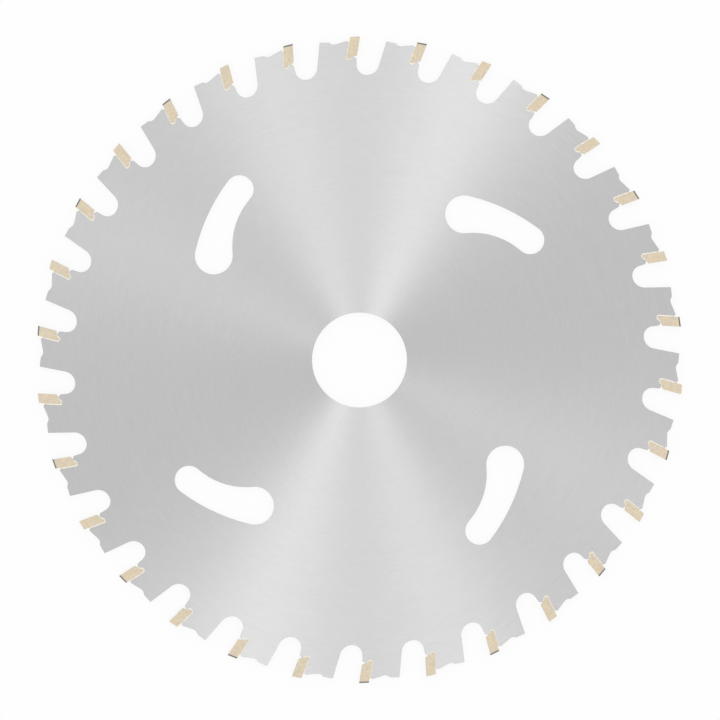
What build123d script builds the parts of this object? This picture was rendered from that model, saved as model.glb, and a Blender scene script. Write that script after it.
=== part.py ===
from build123d import *
from math import cos, radians, sin, tan
import os

# Circular saw blade for cutting metal, lying flat.
# Millimetres and degrees. The origin is the centre of the arbor bore, halfway through the
# plate. +Z is the blade's axis, and the first tooth's cutting corner is on +Y. Seen from +Z
# the blade turns clockwise.

# Blade
cutting_diameter = 136.0
bore_diameter = 20.0
plate_thickness = 1.1
tooth_count = 30

# Cutting tip
kerf = 1.5
hook_angle = 9.0
top_bevel_angle = 15.0
top_clearance_angle = 2.0
radial_clearance_angle = 1.0
tangential_clearance_angle = 1.5
tip_thickness = 2.0
face_length = 3.93
undercut_angle = 27.0
throat_setback = 0.91
foot_length = 1.11
foot_angle = 50.0
foot_bevel = 0.2

# Seat
braze_gap = 0.2
braze_recess = 0.5
braze_setback = 0.55
ledge_clearance = 0.15
seat_foot_round = 0.4
seat_lip_round = 0.55
seat_top_bevel = 0.4

# Gullet
gullet_depth = 8.07
gullet_width = 4.1
gullet_flat = 0.1
gullet_front_round = 2.09
front_wall_setback = 0.69
rear_wall_lean = 5.0

# Back of the tooth
back_drop = 0.8
back_slope_angle = 17.0
dip_depth = 0.5
dip_round = 1.2
shoulder_drop = 1.31
shoulder_fall_angle = 30.0

# Cooling slots
slot_count = 4
slot_big_radius = 4.0
slot_big_reach = 37.73
slot_big_angle = 35.6
slot_small_radius = 3.0
slot_small_reach = 43.87
slot_small_angle = 54.8
slot_inner_curve = 15.25
slot_outer_curve = 40.2

# How far a cutting shape runs past the metal that it takes away
overrun = 2.0

# Points nearer than this are one point
touching = 1e-6

cutting_radius = cutting_diameter / 2
tooth_pitch = 360.0 / tooth_count
hook = radians(hook_angle)

# A tooth is drawn at the top of the blade, with its cutting corner at (0, cutting_radius).
# X points forward, the way the tooth travels. The tip has a frame of its own, turned by the
# hook angle, with its face on the Y axis and the cutting corner at the origin.
tip_frame = Pos(0, cutting_radius) * Rot(Z=-hook_angle)


def clockwise(angle):
    """A turn of the blade about its axis, clockwise as seen from +Z."""
    return Rot(Z=-angle)


def around(shape, count):
    """The shape repeated evenly around the blade, clockwise from the top."""
    return [clockwise(i * 360.0 / count) * shape for i in range(count)]


def polar(reach, angle):
    """The point at a distance from the axis, at an angle clockwise from +Y."""
    turn = radians(angle)
    return Vector(reach * sin(turn), reach * cos(turn))


def throat():
    """The deepest point of the undercut below the tip's face, in the tip's frame."""
    return Vector(-throat_setback, -face_length - throat_setback * tan(radians(undercut_angle)))


def tip_blank():
    """Side outline of a tip with sharp corners, and with its top left long for grinding."""
    foot_y = -face_length - foot_length
    foot_x = throat().X - (throat().Y - foot_y) / tan(radians(foot_angle))
    outline = Polyline(
        (0, overrun),
        (-tip_thickness, overrun),
        (-tip_thickness, foot_y),
        (foot_x, foot_y),
        throat(),
        (0, -face_length),
        close=True,
    )
    return tip_frame * make_face(outline)


def heel(outline):
    """The corner of a tip's outline that lies deepest in the seat, at the back of its foot."""
    down_and_back = Vector(-1, -1)
    return max(outline.vertices(), key=lambda v: Vector(v).dot(down_and_back))


def tip_outline():
    """Side outline of a tip, with its heel bevelled to clear the round of the seat."""
    blank = tip_blank()
    return chamfer(heel(blank), foot_bevel)


def above_ledge():
    """The wedge of room below a tip's undercut, over the flat ledge at the front of its seat."""
    corner = (tip_frame * Pos(throat())).position - Vector(0, ledge_clearance)
    face_foot = (tip_frame * Pos(0, -face_length)).position
    room = Rectangle(-corner.X, face_foot.Y - corner.Y, align=(Align.MIN, Align.MIN))
    return Pos(corner) * room


def seat_pocket():
    """What the plate leaves free for a tip and its braze layer."""
    pocket = offset(tip_blank(), amount=braze_gap, kind=Kind.INTERSECTION)
    return fillet(heel(pocket), seat_foot_round) + above_ledge()


def gullet_corners():
    """Where the lines of the gullet's front and rear walls meet the line of its floor."""
    front = Vector(-front_wall_setback, cutting_radius - gullet_depth)
    return front, front + Vector(gullet_width, 0)


def gullet_cut():
    """The chip space: a radial front wall, a bottom of two rounds, and the next tooth's rear wall."""
    front, rear = gullet_corners()
    flare = tooth_pitch + rear_wall_lean
    up_the_wall = Vector(0, 1).rotate(Axis.Z, -flare)
    rear_round = (gullet_width - gullet_flat - gullet_front_round) * tan(radians(90 + flare) / 2)
    wall_length = gullet_depth + 2 * overrun
    outline = FilletPolyline(
        front + Vector(0, wall_length),
        front,
        rear,
        rear + up_the_wall * wall_length,
        radius=[0, gullet_front_round, rear_round, 0],
        close=True,
    )
    return make_face(outline)


def rear_corner():
    """Where the tooth's rear wall, which rises from the gullet behind, meets the shoulder."""
    wall_foot = gullet_corners()[1].rotate(Axis.Z, tooth_pitch)
    y = cutting_radius - shoulder_drop
    return Vector(wall_foot.X + (y - wall_foot.Y) * tan(radians(rear_wall_lean)), y)


def seat_corner():
    """Where the back slope meets the wall of the seat."""
    seat_x = (tip_thickness + braze_gap) / cos(hook) + back_drop * tan(hook)
    return Vector(-seat_x, cutting_radius - back_drop)


def back_cut():
    """Everything above the tooth's back: shoulder that limits the bite, dip, and back slope."""
    rear = rear_corner()
    seat = seat_corner()
    rise = tan(radians(back_slope_angle))
    fall = tan(radians(shoulder_fall_angle))
    dip_y = rear.Y - dip_depth
    dip_x = seat.X - (seat.Y - dip_y) / rise
    top_y = cutting_radius + 2 * overrun
    behind_x = rear.X - overrun
    outline = FilletPolyline(
        (behind_x, rear.Y),
        (dip_x - dip_depth / fall, rear.Y),
        (dip_x, dip_y),
        (0, seat.Y - seat.X * rise),
        (0, top_y),
        (behind_x, top_y),
        radius=[0, 0, dip_round, 0, 0, 0],
        close=True,
    )
    return make_face(outline)


def meeting_point(a, reach_a, b, reach_b):
    """The point to the right of the line from a to b, at the given distances from them."""
    span = b - a
    along = (reach_a**2 - reach_b**2 + span.length**2) / (2 * span.length)
    across = (reach_a**2 - along**2) ** 0.5
    direction = span.normalized()
    return a + direction * along + Vector(direction.Y, -direction.X) * across


def cooling_slot():
    """Kidney slot: a big and a small round end, joined by two arcs tangent to both."""
    big = polar(slot_big_reach, slot_big_angle)
    small = polar(slot_small_reach, slot_small_angle)
    inner = meeting_point(
        big, slot_inner_curve + slot_big_radius, small, slot_inner_curve + slot_small_radius
    )
    outer = meeting_point(
        big, slot_outer_curve - slot_big_radius, small, slot_outer_curve - slot_small_radius
    )
    away = (big - small).normalized()
    inner_big = big + (inner - big).normalized() * slot_big_radius
    inner_small = small + (inner - small).normalized() * slot_small_radius
    outer_big = big + (big - outer).normalized() * slot_big_radius
    outer_small = small + (small - outer).normalized() * slot_small_radius
    toward_inner = (inner_big - inner + inner_small - inner).normalized()
    toward_outer = (outer_big - outer + outer_small - outer).normalized()
    outline = [
        ThreePointArc(inner_big, big + away * slot_big_radius, outer_big),
        ThreePointArc(outer_big, outer + toward_outer * slot_outer_curve, outer_small),
        ThreePointArc(outer_small, small - away * slot_small_radius, inner_small),
        ThreePointArc(inner_small, inner + toward_inner * slot_inner_curve, inner_big),
    ]
    return make_face(outline)


def tooth_gap():
    """All that is cut from the disc for one tooth, with the seat's lip rounded and its top bevelled."""
    gap = gullet_cut() + back_cut() + seat_pocket()
    corners = [v for v in gap.vertices() if v.Y < cutting_radius]
    lip = max((v for v in corners if abs(v.X + front_wall_setback) < touching), key=lambda v: v.Y)
    gap = fillet(lip, seat_lip_round)
    top = seat_corner()
    edge = min(gap.vertices(), key=lambda v: (Vector(v) - top).length)
    return chamfer(edge, seat_top_bevel)


def blade_plate():
    """The steel plate with its teeth, seats, bore and cooling slots."""
    outline = Circle(cutting_radius) - around(tooth_gap(), tooth_count)
    outline -= Circle(bore_diameter / 2)
    outline -= around(cooling_slot(), slot_count)
    return extrude(outline, amount=plate_thickness / 2, both=True)


def braze_layer():
    """The solder between a tip and its seat: flush with the plate's faces, and short at both ends."""
    above = Pos(0, -braze_recess) * back_cut()
    ahead = Pos(-braze_setback) * gullet_cut()
    layer = seat_pocket() - ahead - above - tip_outline()
    return extrude(layer, amount=plate_thickness / 2, both=True)


def ground(blank, corner_z, slope):
    """The blank with all metal beyond a grinding plane through the cutting corner taken off."""
    wheel = Plane(origin=(0, cutting_radius, corner_z), z_dir=slope)
    return split(blank, bisect_by=wheel, keep=Keep.BOTTOM)


def tip():
    """A tip whose sides narrow towards its back and root, and whose high edge is on +Z."""
    to_back = -tan(radians(tangential_clearance_angle))
    to_root = -tan(radians(radial_clearance_angle))
    body = extrude(tip_outline(), amount=kerf, both=True)
    body = ground(body, kerf / 2, (to_back, to_root, 1))
    body = ground(body, -kerf / 2, (to_back, to_root, -1))
    land = (-tan(radians(top_clearance_angle)), 1, -tan(radians(top_bevel_angle)))
    return ground(body, kerf / 2, land)


def tips():
    """All tips, clockwise from the top, with the high edge on each side in turn."""
    high_above = tip()
    high_below = mirror(high_above, about=Plane.XY)
    shapes = [high_above, high_below]
    return [clockwise(i * tooth_pitch) * shapes[i % 2] for i in range(tooth_count)]


def save(name, shape):
    """One STEP file for each sub-part."""
    export_step(shape, f"parts/{name}.step")


os.makedirs("parts", exist_ok=True)
save("blade_plate", blade_plate())
save("braze_layers", Compound([layer.solid() for layer in around(braze_layer(), tooth_count)]))
for number, shape in enumerate(tips(), start=1):
    save(f"tip_{number:02d}", shape)
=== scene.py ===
import bmesh
import bpy
from math import cos, radians, sin
from mathutils import Matrix, Vector, noise


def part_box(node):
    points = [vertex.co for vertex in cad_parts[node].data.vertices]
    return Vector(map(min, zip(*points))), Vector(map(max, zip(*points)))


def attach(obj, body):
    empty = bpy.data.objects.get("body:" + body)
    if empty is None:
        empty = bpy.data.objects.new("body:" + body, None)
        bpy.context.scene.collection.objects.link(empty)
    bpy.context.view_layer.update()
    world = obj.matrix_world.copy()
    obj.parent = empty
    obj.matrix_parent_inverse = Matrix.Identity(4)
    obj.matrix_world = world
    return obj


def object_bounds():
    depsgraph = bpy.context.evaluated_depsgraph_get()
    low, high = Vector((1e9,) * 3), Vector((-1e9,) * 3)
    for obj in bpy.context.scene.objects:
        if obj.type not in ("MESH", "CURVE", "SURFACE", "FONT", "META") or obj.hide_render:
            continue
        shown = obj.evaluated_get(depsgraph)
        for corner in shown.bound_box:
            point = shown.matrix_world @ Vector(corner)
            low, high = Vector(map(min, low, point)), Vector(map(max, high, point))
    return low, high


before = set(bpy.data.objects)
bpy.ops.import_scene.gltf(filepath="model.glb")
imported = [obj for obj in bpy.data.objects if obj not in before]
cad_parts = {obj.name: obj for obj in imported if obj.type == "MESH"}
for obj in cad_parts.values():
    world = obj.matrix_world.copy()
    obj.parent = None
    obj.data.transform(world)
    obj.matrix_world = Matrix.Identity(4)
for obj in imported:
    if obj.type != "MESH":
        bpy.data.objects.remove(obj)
cad_low, cad_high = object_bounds()

# Sizes of the blade, in metres and degrees
TOOTH_COUNT = 30
TOOTH_PITCH = 360.0 / TOOTH_COUNT
CUTTING_RADIUS = cad_high.y
PLATE_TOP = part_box("blade_plate")[1].z

# The picture is square and looks straight down. The blade's centre lies a little left of the picture's.
PICTURE_SIDE = 720
CUTTING_RADIUS_PX = 323.5
BLADE_CENTRE_PX = (359.5, 360.0)
BLADE_TURN = 0.07
LENS = 300.0
SENSOR = 36.0

# Colours, linear
STEEL = (0.516, 0.516, 0.516)
STEEL_CUT = (0.40, 0.395, 0.39)
# Lighter steel along the plate's edges: partly wear, partly a painted edge highlight
STEEL_WORN_AND_HIGHLIT = (0.62, 0.62, 0.62)
CARBIDE_WARM = (0.731, 0.609, 0.424)
CARBIDE_COOL = (0.686, 0.601, 0.474)
# Near black for the tips' ground faces and lands: partly their ground finish, partly painted shade
CARBIDE_GROUND_AND_SHADE = (0.035, 0.032, 0.028)
# Lighter tan along the tips' edges: partly wear, partly a painted edge highlight
CARBIDE_WORN_AND_HIGHLIT = (0.62, 0.56, 0.46)
SOLDER = (0.69, 0.665, 0.605)
FLOOR = (0.92, 0.92, 0.92)

# The floor: the share of it that is plain white where it is seen, and half its side
FLOOR_GLOW = 0.88
FLOOR_REACH = 4.0

# Finishes, in metres: how far sharp edges look rounded, and how deep the surfaces' marks are
STEEL_EDGE = 0.00005
FINE_EDGE = 0.00003
GRINDING_DEPTH = 0.000002
GRAIN_DEPTH = 0.000006
LUMP_DEPTH = 0.00001

# The range that noise mostly keeps
NOISE_LOW = 0.3
NOISE_HIGH = 0.7

# Edge wear and a painted edge highlight start where the softened normal leaves the sharp one, and are
# full further on. Cosines.
WEAR_AND_HIGHLIGHT_STARTS = 0.995
WEAR_AND_HIGHLIGHT_FULL = 0.8

# Solder that has crept out of the joint: a bead that climbs from the plate's face up a tip's side
BEAD_STEP = 0.00014
BEAD_SPREAD = 0.00004
BEAD_RISE = 0.00006
BEAD_ROOT = 0.00002
BEAD_ROWS = 5
BEAD_ENDS = 4
BEAD_WAVES = 0.35
BEAD_WAVE_SCALE = 2500.0

# The first braze layer lies within this distance of the YZ plane. Nearer points than TOUCHING are one.
BRAZE_REACH = 0.005
TOUCHING = 1e-7
FACES_UP = 0.9

# Light. The sky lights the blade at one strength, and shows white to the camera and in the metal.
# The lamps, each an angle clockwise from +Y and a strength, hang in opposite pairs. Each pair draws
# two bright fans on the ring-ground plate.
SKY = 0.82
SKY_SEEN = 1.0
LAMPS = {21.0: 0.158, 201.0: 0.147, 341.7: 0.107, 161.7: 0.129, 115.5: 0.044, 295.5: 0.062}
LAMP_ELEVATION = 65.0
LAMP_SPREAD = 7.0


def clockwise(angle, reach):
    """A point in the XY plane, at an angle clockwise from +Y as seen from +Z."""
    turn = radians(angle)
    return Vector((reach * sin(turn), reach * cos(turn), 0.0))


class Nodes:
    """Short calls that add nodes to one material."""

    def __init__(self, name):
        self.material = bpy.data.materials.new(name)
        self.material.use_nodes = True
        self.tree = self.material.node_tree
        self.tree.nodes.clear()

    def add(self, kind, **settings):
        node = self.tree.nodes.new("ShaderNode" + kind)
        for key, value in settings.items():
            setattr(node, key, value)
        return node

    def put(self, socket, value):
        """A socket's value: another node's output, or a plain number, colour or vector."""
        if isinstance(value, bpy.types.NodeSocket):
            self.tree.links.new(value, socket)
        elif isinstance(value, tuple) and len(value) == 3 and socket.type == "RGBA":
            socket.default_value = (*value, 1.0)
        else:
            socket.default_value = value

    def math(self, operation, a, b=0.0, c=0.0):
        node = self.add("Math", operation=operation)
        for socket, value in zip(node.inputs, (a, b, c)):
            self.put(socket, value)
        return node.outputs[0]

    def vector(self, operation, a, b=(0.0, 0.0, 0.0), scale=1.0):
        node = self.add("VectorMath", operation=operation)
        self.put(node.inputs[0], a)
        self.put(node.inputs[1], b)
        if operation == "SCALE":
            self.put(node.inputs["Scale"], scale)
        return node.outputs["Value" if operation in ("DOT_PRODUCT", "LENGTH") else "Vector"]

    def noise(self, place, scale, detail=2.0, rough=0.5):
        node = self.add("TexNoise")
        self.put(node.inputs["Vector"], place)
        self.put(node.inputs["Scale"], scale)
        self.put(node.inputs["Detail"], detail)
        self.put(node.inputs["Roughness"], rough)
        return node.outputs[0]

    def between(self, value, low, high, to_low=0.0, to_high=1.0):
        """The value, moved from one range to another and held inside it."""
        node = self.add("MapRange")
        for socket, number in zip(node.inputs, (value, low, high, to_low, to_high)):
            self.put(socket, number)
        return node.outputs[0]

    def spread(self, noise, to_low, to_high):
        """Noise, moved from the range that it mostly keeps to another one."""
        return self.between(noise, NOISE_LOW, NOISE_HIGH, to_low, to_high)

    def mix(self, factor, a, b):
        node = self.add("Mix", data_type="RGBA")
        self.put(node.inputs["Factor"], factor)
        self.put(node.inputs["A"], a)
        self.put(node.inputs["B"], b)
        return node.outputs["Result"]

    def rings(self, outward, reach, per_metre, around):
        """Noise that changes fast outward and slowly around the axis."""
        column = self.add("CombineXYZ")
        self.put(column.inputs[2], self.math("MULTIPLY", reach, per_metre))
        along = self.vector("SCALE", outward, scale=around)
        return self.noise(self.vector("ADD", along, column.outputs[0]), 1.0, detail=3.0, rough=0.6)

    def softened(self, radius):
        """The surface's normal as if its sharp edges were rounded."""
        node = self.add("Bevel", samples=4)
        node.inputs["Radius"].default_value = radius
        return node.outputs["Normal"]

    def worn_and_highlit_edge(self, softened):
        """How near the surface is to one of its edges, from 0 to 1: where edge wear and a painted edge
        highlight go.
        """
        sharp = self.add("NewGeometry").outputs["True Normal"]
        alike = self.vector("DOT_PRODUCT", softened, sharp)
        return self.between(alike, WEAR_AND_HIGHLIGHT_STARTS, WEAR_AND_HIGHLIGHT_FULL)

    def bump(self, height, distance, base):
        node = self.add("Bump")
        self.put(node.inputs["Height"], height)
        self.put(node.inputs["Normal"], base)
        node.inputs["Distance"].default_value = distance
        return node.outputs["Normal"]

    def place(self):
        """The point on the part, in metres."""
        return self.add("TexCoord").outputs["Object"]

    def facing(self):
        """The surface's own normal, in the part's frame."""
        geometry = self.add("NewGeometry")
        turned = self.add("VectorTransform", vector_type="NORMAL")
        turned.convert_from = "WORLD"
        turned.convert_to = "OBJECT"
        self.put(turned.inputs[0], geometry.outputs["True Normal"])
        return turned.outputs[0]

    def outward(self, place):
        """The direction away from the blade's axis."""
        flat = self.vector("MULTIPLY", place, (1.0, 1.0, 0.0))
        return self.vector("NORMALIZE", flat)

    def surface(self, **inputs):
        shader = self.add("BsdfPrincipled")
        for key, value in inputs.items():
            self.put(shader.inputs[key.replace("_", " ")], value)
        output = self.add("OutputMaterial")
        self.tree.links.new(shader.outputs[0], output.inputs["Surface"])
        return self.material


def steel():
    """Plate steel: faces ground in fine rings about the bore, edges cut straight through."""
    n = Nodes("plate_steel")
    place = n.place()
    outward = n.outward(place)
    reach = n.vector("DOT_PRODUCT", place, outward)
    up = n.math("ABSOLUTE", n.vector("DOT_PRODUCT", n.facing(), (0.0, 0.0, 1.0)))
    on_face = n.math("GREATER_THAN", up, 0.5)
    softened = n.softened(STEEL_EDGE)
    edge = n.worn_and_highlit_edge(softened)

    fine = n.rings(outward, reach, per_metre=12000.0, around=20.0)
    broad = n.rings(outward, reach, per_metre=900.0, around=1.2)
    scratches = n.between(n.rings(outward, reach, per_metre=5000.0, around=9.0), 0.62, 0.70)
    clouds = n.noise(place, scale=60.0, detail=3.0, rough=0.5)
    through = n.vector("MULTIPLY", place, (1.0, 1.0, 0.08))
    cut_lines = n.noise(through, scale=6000.0, detail=2.0, rough=0.6)

    grinding = n.math("ADD", n.spread(fine, 0.955, 1.045), n.spread(broad, -0.008, 0.008))
    worn = n.math("MULTIPLY_ADD", scratches, -0.05, n.spread(clouds, -0.006, 0.006))
    tone = n.math("ADD", grinding, worn)
    face_colour = n.vector("SCALE", STEEL, scale=tone)
    wall_colour = n.vector("SCALE", STEEL_CUT, scale=n.spread(cut_lines, 0.8, 1.25))
    plain = n.mix(on_face, wall_colour, face_colour)
    # Lighter steel along the edges: partly wear, partly a painted edge highlight
    colour = n.mix(n.math("MULTIPLY", edge, 0.5), plain, STEEL_WORN_AND_HIGHLIT)
    face_rough = n.spread(fine, 0.30, 0.34)
    wall_rough = n.spread(cut_lines, 0.42, 0.58)
    rough = n.between(on_face, 0.0, 1.0, wall_rough, face_rough)
    height = n.between(on_face, 0.0, 1.0, cut_lines, fine)
    return n.surface(
        Base_Color=colour,
        Metallic=1.0,
        Roughness=rough,
        Anisotropic=0.79,
        Tangent=outward,
        Normal=n.bump(height, GRINDING_DEPTH, softened),
    )


def carbide():
    """Cutting tips: tan sides with a fine grain along the tip, and dark ground faces and lands,
    darkened partly by their ground finish and partly by painted shade.
    """
    n = Nodes("tip_carbide")
    place = n.place()
    outward = n.outward(place)
    forward = n.vector("CROSS_PRODUCT", outward, (0.0, 0.0, 1.0))
    reach = n.vector("DOT_PRODUCT", place, outward)
    facing = n.facing()
    softened = n.softened(FINE_EDGE)
    edge = n.worn_and_highlit_edge(softened)
    land = n.between(n.vector("DOT_PRODUCT", facing, outward), 0.80, 0.90)
    face = n.between(n.vector("DOT_PRODUCT", facing, forward), 0.80, 0.90)
    ground = n.math("MAXIMUM", land, face)

    grain = n.rings(outward, reach, per_metre=500.0, around=350.0)
    mottle = n.noise(place, scale=1400.0, detail=3.0, rough=0.6)
    specks = n.noise(place, scale=9000.0, detail=2.0, rough=0.7)
    batch = n.noise(place, scale=90.0, detail=0.0, rough=0.5)
    across = n.vector("MULTIPLY", place, (1.0, 1.0, 12.0))
    grinding = n.noise(across, scale=1500.0, detail=2.0, rough=0.6)

    shade = n.math("ADD", n.spread(grain, -0.06, 0.06), n.spread(mottle, -0.08, 0.08))
    speckle = n.math("ADD", n.spread(specks, -0.04, 0.04), n.spread(batch, -0.015, 0.015))
    warmth = n.between(n.noise(place, scale=1100.0, detail=2.0, rough=0.6), 0.35, 0.65)
    tan = n.mix(warmth, CARBIDE_COOL, CARBIDE_WARM)
    side_colour = n.vector("SCALE", tan, scale=n.math("ADD", 1.0, n.math("ADD", shade, speckle)))
    # Near-black ground faces and lands: partly their ground finish, partly painted shade
    ground_and_shade_colour = n.vector("SCALE", CARBIDE_GROUND_AND_SHADE, scale=n.spread(grinding, 0.85, 1.2))
    plain = n.mix(ground, side_colour, ground_and_shade_colour)
    # Lighter tan along the tips' edges: partly wear, partly a painted edge highlight
    colour = n.mix(n.math("MULTIPLY", edge, 0.12), plain, CARBIDE_WORN_AND_HIGHLIT)
    side_rough = n.spread(grain, 0.48, 0.58)
    ground_rough = n.spread(grinding, 0.25, 0.38)
    rough = n.between(ground, 0.0, 1.0, side_rough, ground_rough)
    side_height = n.math("MULTIPLY_ADD", grain, 0.6, n.math("MULTIPLY", specks, 0.4))
    height = n.between(ground, 0.0, 1.0, side_height, n.math("MULTIPLY", grinding, 0.4))
    return n.surface(
        Base_Color=colour,
        Roughness=rough,
        Specular_IOR_Level=0.3,
        Normal=n.bump(height, GRAIN_DEPTH, softened),
    )


def solder():
    """Silver solder: a pale, slightly uneven skin with small pits."""
    n = Nodes("solder")
    place = n.place()
    softened = n.softened(FINE_EDGE)
    lumps = n.noise(place, scale=2500.0, detail=3.0, rough=0.6)
    pits = n.between(n.noise(place, scale=7000.0, detail=1.0, rough=0.5), 0.62, 0.72)
    tone = n.math("SUBTRACT", n.spread(lumps, 0.96, 1.04), n.math("MULTIPLY", pits, 0.2))
    colour = n.vector("SCALE", SOLDER, scale=tone)
    height = n.math("SUBTRACT", lumps, n.math("MULTIPLY", pits, 0.5))
    return n.surface(
        Base_Color=colour,
        Metallic=1.0,
        Roughness=n.spread(lumps, 0.38, 0.52),
        Normal=n.bump(height, LUMP_DEPTH, softened),
    )


def seen(tree):
    """1 on a ray from the camera, or one that metal or glass sends on, and 0 on any other."""
    paths = tree.nodes.new("ShaderNodeLightPath")
    value = paths.outputs["Is Camera Ray"]
    for kind in ("Is Glossy Ray", "Is Transmission Ray"):
        either = tree.nodes.new("ShaderNodeMath")
        either.operation = "MAXIMUM"
        tree.links.new(value, either.inputs[0])
        tree.links.new(paths.outputs[kind], either.inputs[1])
        value = either.outputs[0]
    return value


def floor_material():
    """Plain pale floor: it looks white, and keeps a light shadow of the blade."""
    n = Nodes("floor")
    matt = n.add("BsdfDiffuse")
    n.put(matt.inputs["Color"], FLOOR)
    glow = n.add("Emission")
    mixed = n.add("MixShader")
    n.put(mixed.inputs[0], n.math("MULTIPLY", seen(n.tree), FLOOR_GLOW))
    n.put(mixed.inputs[1], matt.outputs[0])
    n.put(mixed.inputs[2], glow.outputs[0])
    output = n.add("OutputMaterial")
    n.put(output.inputs["Surface"], mixed.outputs[0])
    return n.material


def dress_cad(solder_look):
    """Each CAD node gets its material."""
    looks = {"blade_plate": steel(), "braze_layers": solder_look}
    tips = carbide()
    for name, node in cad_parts.items():
        look = looks.get(name, tips)
        for slot in node.material_slots:
            slot.material = look


def first_braze_sides():
    """The two long sides of the first braze layer's outline, each from its top end to its front end."""
    mesh = bmesh.new()
    mesh.from_mesh(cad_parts["braze_layers"].data)
    bmesh.ops.remove_doubles(mesh, verts=mesh.verts, dist=TOUCHING)
    rim = []
    for edge in mesh.edges:
        tops = [face for face in edge.link_faces if face.normal.z > FACES_UP]
        middle = (edge.verts[0].co + edge.verts[1].co) / 2
        if len(tops) == 1 and middle.y > 0 and abs(middle.x) < BRAZE_REACH:
            rim.append(edge)
    front_end = max(rim, key=lambda edge: edge.verts[0].co.x + edge.verts[1].co.x)
    top_end = max(rim, key=lambda edge: edge.verts[0].co.y + edge.verts[1].co.y)
    sides = []
    for start in top_end.verts:
        side = [start.co.copy()]
        vertex, last = start, top_end
        while last is not front_end:
            last = next(edge for edge in vertex.link_edges if edge in rim and edge is not last)
            vertex = last.other_vert(vertex)
            if last is not front_end:
                side.append(vertex.co.copy())
        sides.append(side)
    mesh.free()
    by_the_tip = min(sides, key=len)
    by_the_plate = max(sides, key=len)
    return by_the_plate, by_the_tip


def divided(side, step):
    """Points at even steps along a side, with its own corners kept."""
    points = [side[0]]
    for a, b in zip(side, side[1:]):
        count = max(1, round((b - a).length / step))
        points += [a.lerp(b, i / count) for i in range(1, count + 1)]
    return points


def nearest(point, side):
    """The point of a side that lies nearest to another point."""
    best = None
    for a, b in zip(side, side[1:]):
        along = (b - a).normalized()
        reach = min(max((point - a).dot(along), 0.0), (b - a).length)
        candidate = a + along * reach
        if best is None or (candidate - point).length < (best - point).length:
            best = candidate
    return best


def bead_rings(plate_side, tip_side, turn):
    """Cross-sections of one bead, turned to its tooth: root points first, then the skin, outside in."""
    rings = []
    points = divided(plate_side, BEAD_STEP)
    for i, outer in enumerate(points):
        inner = nearest(outer, tip_side)
        across = (outer - inner).normalized()
        ends = min(i, len(points) - 1 - i) / BEAD_ENDS
        swell = min(1.0, ends) * (1.0 + BEAD_WAVES * noise.noise((turn @ outer) * BEAD_WAVE_SCALE))
        outer = outer + across * BEAD_SPREAD * swell
        inner = inner - across * BEAD_ROOT
        ring = [inner - Vector((0, 0, BEAD_ROOT)), outer - Vector((0, 0, BEAD_ROOT))]
        for row in range(BEAD_ROWS + 1):
            part = row / BEAD_ROWS
            ring.append(outer.lerp(inner, part) + Vector((0, 0, BEAD_RISE * swell * part**2)))
        rings.append([turn @ point for point in ring])
    return rings


def make_beads(look):
    """Solder beads along every joint, on both faces of the plate."""
    plate_side, tip_side = first_braze_sides()
    points = []
    faces = []
    for tooth in range(TOOTH_COUNT):
        turn = Matrix.Rotation(radians(-tooth * TOOTH_PITCH), 3, "Z")
        rings = bead_rings(plate_side, tip_side, turn)
        size = len(rings[0])
        for side in (1, -1):
            start = len(points)
            points += [Vector((p.x, p.y, p.z * side)) for ring in rings for p in ring]
            skin = []
            for ring in range(len(rings) - 1):
                for k in range(size):
                    here = ring * size
                    ahead = here + size
                    after = (k + 1) % size
                    skin.append((here + k, here + after, ahead + after, ahead + k))
            last = (len(rings) - 1) * size
            skin += [tuple(range(size - 1, -1, -1)), tuple(range(last, last + size))]
            faces += [tuple(start + i for i in (face if side > 0 else face[::-1])) for face in skin]
    mesh = bpy.data.meshes.new("braze_beads")
    mesh.from_pydata(points, [], faces)
    shell = bmesh.new()
    shell.from_mesh(mesh)
    bmesh.ops.recalc_face_normals(shell, faces=shell.faces)
    for face in shell.faces:
        face.smooth = True
    shell.to_mesh(mesh)
    shell.free()
    mesh.materials.append(look)
    beads = bpy.data.objects.new("braze_beads", mesh)
    bpy.context.scene.collection.objects.link(beads)
    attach(beads, "root")


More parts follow.
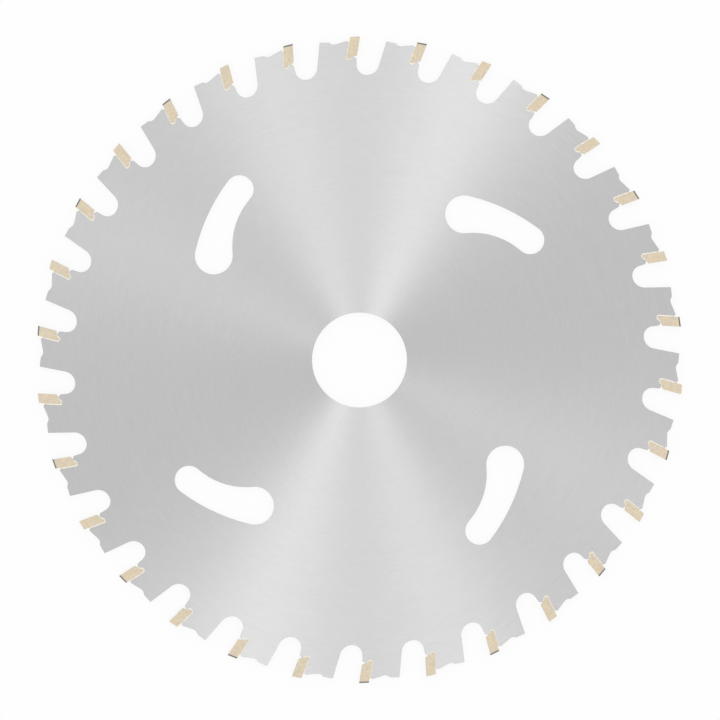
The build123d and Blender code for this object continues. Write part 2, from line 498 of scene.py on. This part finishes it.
def make_floor():
    reach = FLOOR_REACH
    mesh = bpy.data.meshes.new("floor")
    corners = [(-reach, -reach, 0), (reach, -reach, 0), (reach, reach, 0), (-reach, reach, 0)]
    mesh.from_pydata(corners, [], [(0, 1, 2, 3)])
    floor = bpy.data.objects.new("floor", mesh)
    floor.location.z = cad_low.z
    mesh.materials.append(floor_material())
    bpy.context.scene.collection.objects.link(floor)


def make_camera():
    """Straight down, with the blade as large and as turned as in the picture."""
    metres_per_px = CUTTING_RADIUS / CUTTING_RADIUS_PX
    side = PICTURE_SIDE * metres_per_px
    data = bpy.data.cameras.new("camera")
    data.sensor_width = SENSOR
    data.lens = LENS
    camera = bpy.data.objects.new("camera", data)
    half = PICTURE_SIDE / 2
    camera.location = (
        (half - BLADE_CENTRE_PX[0]) * metres_per_px,
        (BLADE_CENTRE_PX[1] - half) * metres_per_px,
        side * LENS / SENSOR + PLATE_TOP,
    )
    camera.rotation_euler = (0.0, 0.0, radians(BLADE_TURN))
    bpy.context.scene.collection.objects.link(camera)
    bpy.context.scene.camera = camera


def make_lamp(name, angle, strength):
    """A distant soft lamp, at an angle clockwise from +Y."""
    data = bpy.data.lights.new(name, "SUN")
    data.energy = strength
    data.angle = radians(LAMP_SPREAD)
    lamp = bpy.data.objects.new(name, data)
    toward = clockwise(angle, cos(radians(LAMP_ELEVATION)))
    toward.z = sin(radians(LAMP_ELEVATION))
    lamp.rotation_euler = toward.to_track_quat("Z", "Y").to_euler()
    bpy.context.scene.collection.objects.link(lamp)


def make_world():
    world = bpy.data.worlds.new("world")
    world.use_nodes = True
    tree = world.node_tree
    background = tree.nodes["Background"]
    background.inputs["Color"].default_value = (1.0, 1.0, 1.0, 1.0)
    strength = tree.nodes.new("ShaderNodeMapRange")
    strength.inputs["To Min"].default_value = SKY
    strength.inputs["To Max"].default_value = SKY_SEEN
    tree.links.new(seen(tree), strength.inputs["Value"])
    tree.links.new(strength.outputs[0], background.inputs["Strength"])
    bpy.context.scene.world = world


solder_look = solder()
dress_cad(solder_look)
make_beads(solder_look)
make_floor()
make_camera()
make_world()
for number, (angle, strength) in enumerate(LAMPS.items(), start=1):
    make_lamp(f"lamp_{number}", angle, strength)
bpy.context.scene.view_settings.view_transform = "Standard"
